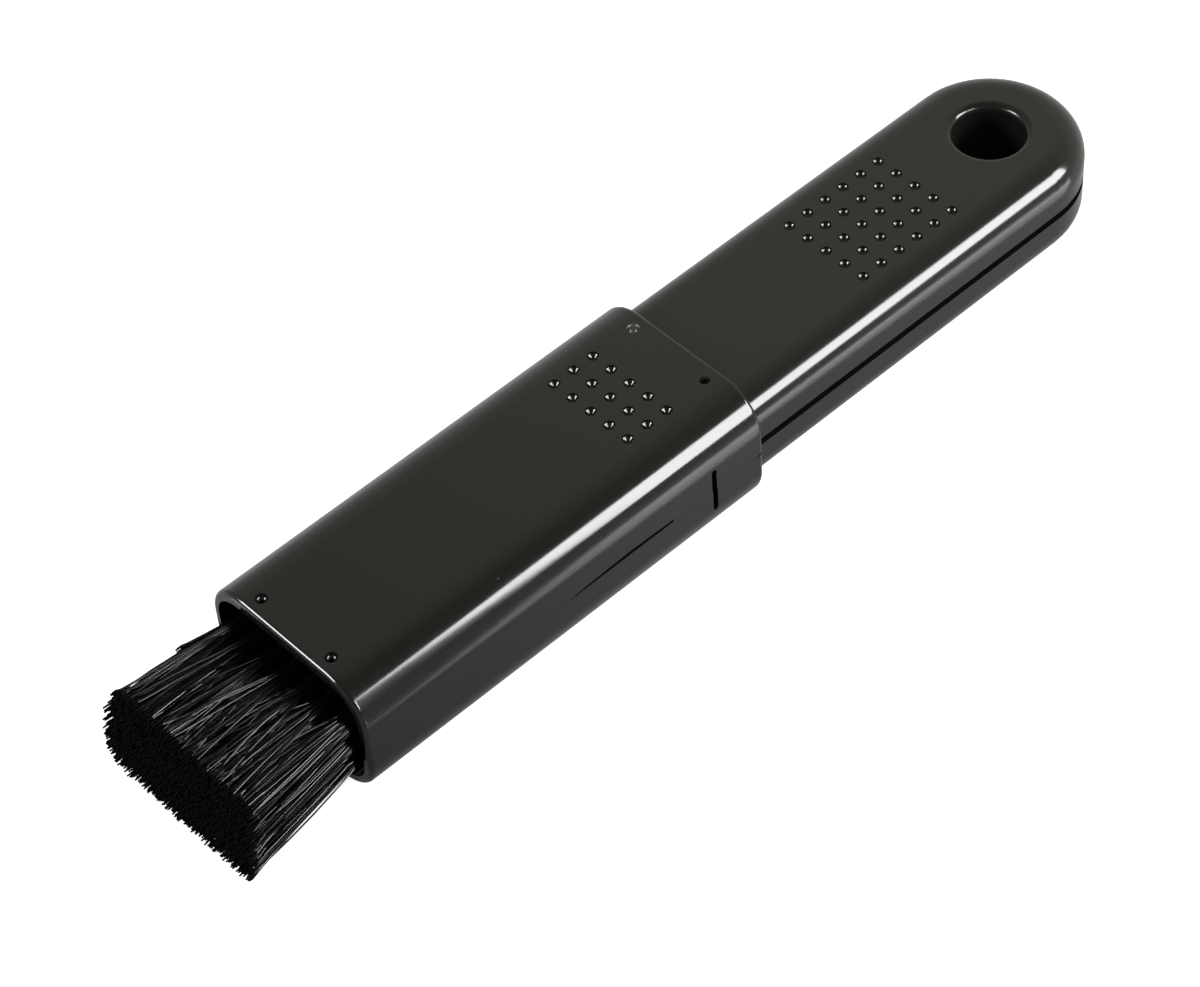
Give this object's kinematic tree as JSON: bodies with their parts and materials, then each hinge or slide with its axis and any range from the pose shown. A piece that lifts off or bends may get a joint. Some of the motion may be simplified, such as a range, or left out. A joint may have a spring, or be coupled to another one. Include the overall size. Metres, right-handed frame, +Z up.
{
  "type": "crevice brush",
  "caption": "Slim black crevice brush: flat round-ended handle with a hanging hole, and a sliding sleeve that covers or stiffens the bristles.",
  "frame": {"origin": "on the resting plane of the sleeve's bottom face, under the middle of the brush's length and width", "axes": "+X along the brush to the handle's rounded end, +Y to the far side, +Z up out of the handle's top face"},
  "size_m": [0.1404, 0.0254, 0.0175],
  "materials": {
    "handle_plastic": "polished black moulding",
    "sleeve_plastic": "polished black moulding",
    "head_plastic": "plain black moulding",
    "bristle_nylon": "black nylon filament",
    "anchor_wire": "drawn flat wire"
  },
  "bodies": {
    "handle": {"handle_upper_shell": "handle_plastic", "handle_lower_shell": "handle_plastic", "brush_head": "head_plastic", "tuft_anchors": "anchor_wire", "tuft_1_1": "bristle_nylon", "tuft_1_2": "bristle_nylon", "tuft_1_3": "bristle_nylon", "tuft_1_4": "bristle_nylon", "tuft_1_5": "bristle_nylon", "tuft_1_6": "bristle_nylon", "tuft_1_7": "bristle_nylon", "tuft_2_1": "bristle_nylon", "tuft_2_2": "bristle_nylon", "tuft_2_3": "bristle_nylon", "tuft_2_4": "bristle_nylon", "tuft_2_5": "bristle_nylon", "tuft_2_6": "bristle_nylon", "tuft_2_7": "bristle_nylon", "tuft_3_1": "bristle_nylon", "tuft_3_2": "bristle_nylon", "tuft_3_3": "bristle_nylon", "tuft_3_4": "bristle_nylon", "tuft_3_5": "bristle_nylon", "tuft_3_6": "bristle_nylon", "tuft_3_7": "bristle_nylon"},
    "sleeve": {"sleeve_upper_shell": "sleeve_plastic", "sleeve_lower_shell": "sleeve_plastic"}
  },
  "joints": [
    {"name": "sleeve_slide", "type": "slide", "parent": "handle", "child": "sleeve", "axis": [-1, 0, 0], "range_m": [0, 0.02]}
  ]
}
